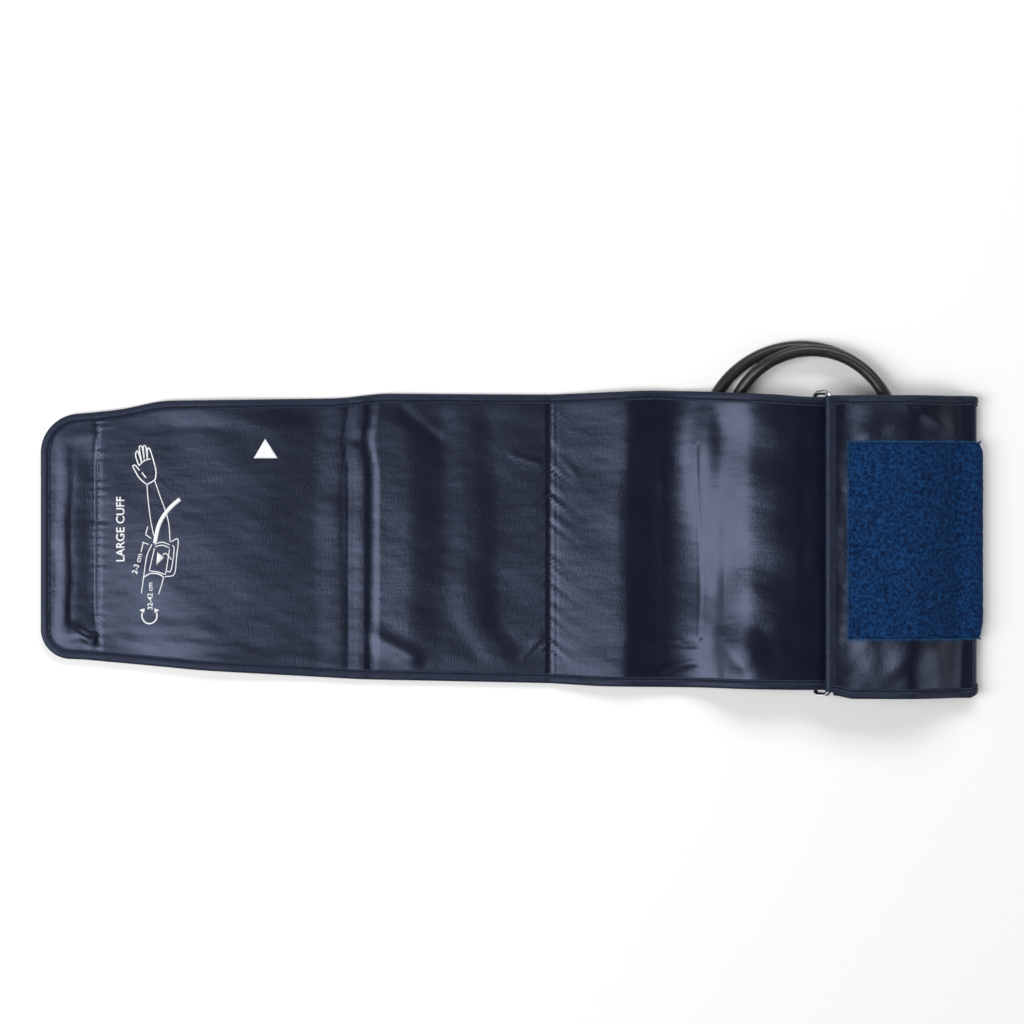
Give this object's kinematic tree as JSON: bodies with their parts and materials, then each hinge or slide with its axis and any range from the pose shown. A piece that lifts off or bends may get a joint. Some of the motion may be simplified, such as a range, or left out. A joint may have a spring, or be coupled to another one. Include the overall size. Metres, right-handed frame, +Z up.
{
  "type": "blood pressure cuff",
  "caption": "Large-arm bar-ring blood pressure cuff lying flat, its navy nylon strip threaded through a metal ring, with a blue pile patch and a coiled air hose.",
  "frame": {"origin": "centre of the cuff's footprint on the surface it lies on, without the hose and plug", "axes": "+X from the strip's rounded tip to its fold, +Y across the strip towards the side where the hose shows, +Z up, out of the face that touches the arm"},
  "size_m": [0.5302, 0.2017, 0.0242],
  "materials": {
    "arm_nylon": "satin",
    "outer_nylon": "satin",
    "binding_tape": "matte",
    "loop_pile": "matte",
    "hook_tape": "matte",
    "plated_wire": "polished",
    "hose_rubber": "satin",
    "bladder_rubber": "matte",
    "plug_plastic": "satin"
  },
  "bodies": {
    "cuff": {"arm_skin": "arm_nylon", "outer_skin": "outer_nylon", "binding_front": "binding_tape", "binding_back": "binding_tape", "bladder": "bladder_rubber", "bladder_port": "bladder_rubber", "loop_patch": "loop_pile", "ring_sleeve": "outer_nylon", "air_hose": "hose_rubber", "air_plug": "plug_plastic"},
    "tail_middle": {"middle_arm_skin": "arm_nylon", "middle_outer_skin": "outer_nylon", "middle_binding_front": "binding_tape", "middle_binding_back": "binding_tape"},
    "tail_tip": {"tip_arm_skin": "arm_nylon", "tip_outer_skin": "outer_nylon", "tip_binding": "binding_tape", "hook_patch": "hook_tape"},
    "bar_ring": {"ring": "plated_wire"}
  },
  "joints": [
    {"name": "tail_fold", "type": "hinge", "parent": "cuff", "child": "tail_middle", "pos_m": [0.0223, 0, 0.0035], "axis": [0, 1, 0], "range_deg": [0, 100]},
    {"name": "tip_fold", "type": "hinge", "parent": "tail_middle", "child": "tail_tip", "pos_m": [-0.0832, 0, 0.0035], "axis": [0, 1, 0], "range_deg": [0, 100]},
    {"name": "ring_tilt", "type": "hinge", "parent": "cuff", "child": "bar_ring", "pos_m": [0.1792, 0, 0.02055], "axis": [0, 1, 0], "range_deg": [-18, 3]}
  ]
}
